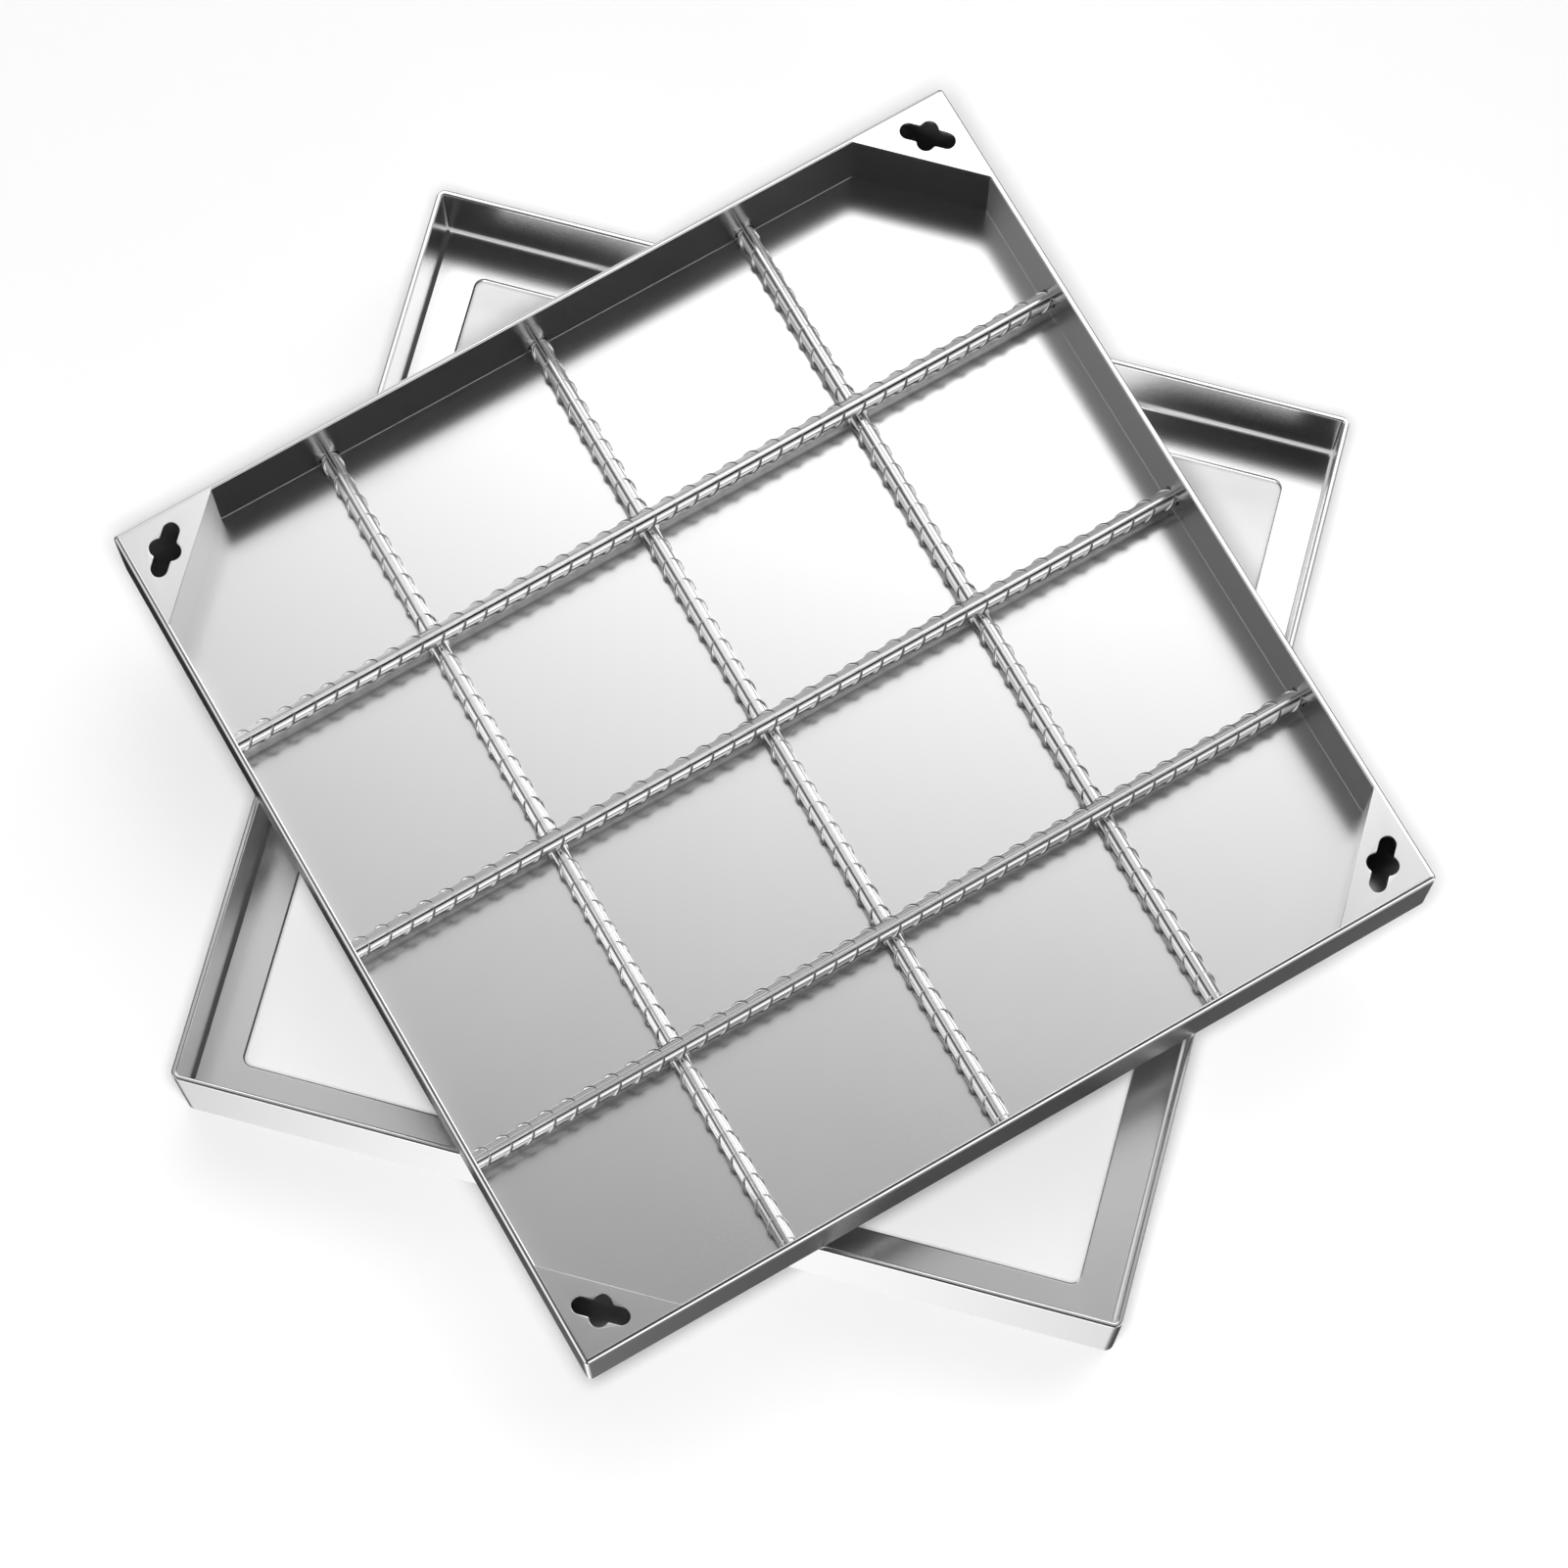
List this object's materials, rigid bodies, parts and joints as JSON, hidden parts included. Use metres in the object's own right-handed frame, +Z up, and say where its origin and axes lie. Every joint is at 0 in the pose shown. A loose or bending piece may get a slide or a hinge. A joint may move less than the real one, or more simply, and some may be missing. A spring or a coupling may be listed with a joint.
{
  "type": "recessed paving cover",
  "caption": "Square recessed cover tray with a lattice of ribbed bars and slotted key plates in its corners, lying turned on the rim of its ledged frame.",
  "frame": {"origin": "on the ground, under the middle of the frame", "axes": "+Z up; X and Y along the tray's sides, the frame turned cornerwise to them"},
  "size_m": [0.8552, 0.8552, 0.16],
  "materials": {
    "satin_sheet": "satin cold-rolled sheet",
    "ribbed_bar": "bright rolled bar"
  },
  "bodies": {
    "root": {"frame_wall": "satin_sheet", "support_ledge": "satin_sheet", "cover_tray": "satin_sheet", "corner_plate_back_right": "satin_sheet", "corner_plate_back_left": "satin_sheet", "corner_plate_front_left": "satin_sheet", "corner_plate_front_right": "satin_sheet", "corner_web_back_right": "satin_sheet", "corner_web_back_left": "satin_sheet", "corner_web_front_left": "satin_sheet", "corner_web_front_right": "satin_sheet", "lower_bar_left": "ribbed_bar", "lower_bar_middle": "ribbed_bar", "lower_bar_right": "ribbed_bar", "upper_bar_front": "ribbed_bar", "upper_bar_middle": "ribbed_bar", "upper_bar_back": "ribbed_bar"}
  },
  "joints": []
}
